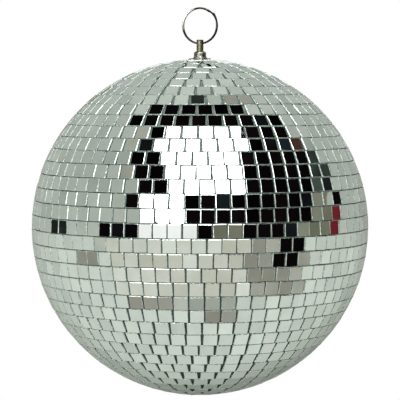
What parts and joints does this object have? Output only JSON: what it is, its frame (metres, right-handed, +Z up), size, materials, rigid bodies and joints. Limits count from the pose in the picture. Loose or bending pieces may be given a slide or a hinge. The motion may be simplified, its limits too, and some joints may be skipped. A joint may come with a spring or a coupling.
{
  "type": "mirror ball",
  "caption": "Hollow sphere faced with rows of small square mirror tiles, hung from a split ring through a short post at the top pole.",
  "frame": {"origin": "hook seat: the top of the inside of the split ring, where a hook carries the ball", "axes": "+Z up along the hanger and through both poles of the ball; the ring lies in the XZ plane, and the ball swings about X"},
  "size_m": [0.2504, 0.2504, 0.2882],
  "materials": {
    "mirror_tile": "polished, ground edges",
    "backing_fabric": "woven",
    "core_plastic": "matt",
    "ring_nickel": "nickel plated",
    "post_brass": "dull",
    "cap_chrome": "polished",
    "zinc_steel": "zinc plated",
    "plug_plastic": "smooth"
  },
  "bodies": {
    "ring": {"split_ring": "ring_nickel"},
    "ball": {"hanger_post": "post_brass", "threaded_stud": "zinc_steel", "dome_cap": "cap_chrome", "jam_nut": "zinc_steel", "pole_washer": "cap_chrome", "upper_core": "core_plastic", "lower_core": "core_plastic", "upper_backing_cloth": "backing_fabric", "lower_backing_cloth": "backing_fabric", "backing_plate": "zinc_steel", "spring_washer": "zinc_steel", "inner_nut": "zinc_steel", "bottom_plug": "plug_plastic", "tile_row_01": "mirror_tile", "tile_row_02": "mirror_tile", "tile_row_03": "mirror_tile", "tile_row_04": "mirror_tile", "tile_row_05": "mirror_tile", "tile_row_06": "mirror_tile", "tile_row_07": "mirror_tile", "tile_row_08": "mirror_tile", "tile_row_09": "mirror_tile", "tile_row_10": "mirror_tile", "tile_row_11": "mirror_tile", "tile_row_12": "mirror_tile", "tile_row_13": "mirror_tile", "tile_row_14": "mirror_tile", "tile_row_15": "mirror_tile", "tile_row_16": "mirror_tile", "tile_row_17": "mirror_tile", "tile_row_18": "mirror_tile", "tile_row_19": "mirror_tile", "tile_row_20": "mirror_tile", "tile_row_21": "mirror_tile", "tile_row_22": "mirror_tile", "tile_row_23": "mirror_tile", "tile_row_24": "mirror_tile", "tile_row_25": "mirror_tile", "tile_row_26": "mirror_tile", "tile_row_27": "mirror_tile", "tile_row_28": "mirror_tile", "tile_row_29": "mirror_tile", "tile_row_30": "mirror_tile", "tile_row_31": "mirror_tile", "tile_row_32": "mirror_tile", "tile_row_33": "mirror_tile", "tile_row_34": "mirror_tile", "tile_row_35": "mirror_tile", "tile_row_36": "mirror_tile"}
  },
  "joints": [
    {"name": "ball_swing", "type": "hinge", "parent": "ring", "child": "ball", "pos_m": [0, 0, -0.02555], "axis": [1, 0, 0], "range_deg": [-115, 115]}
  ]
}
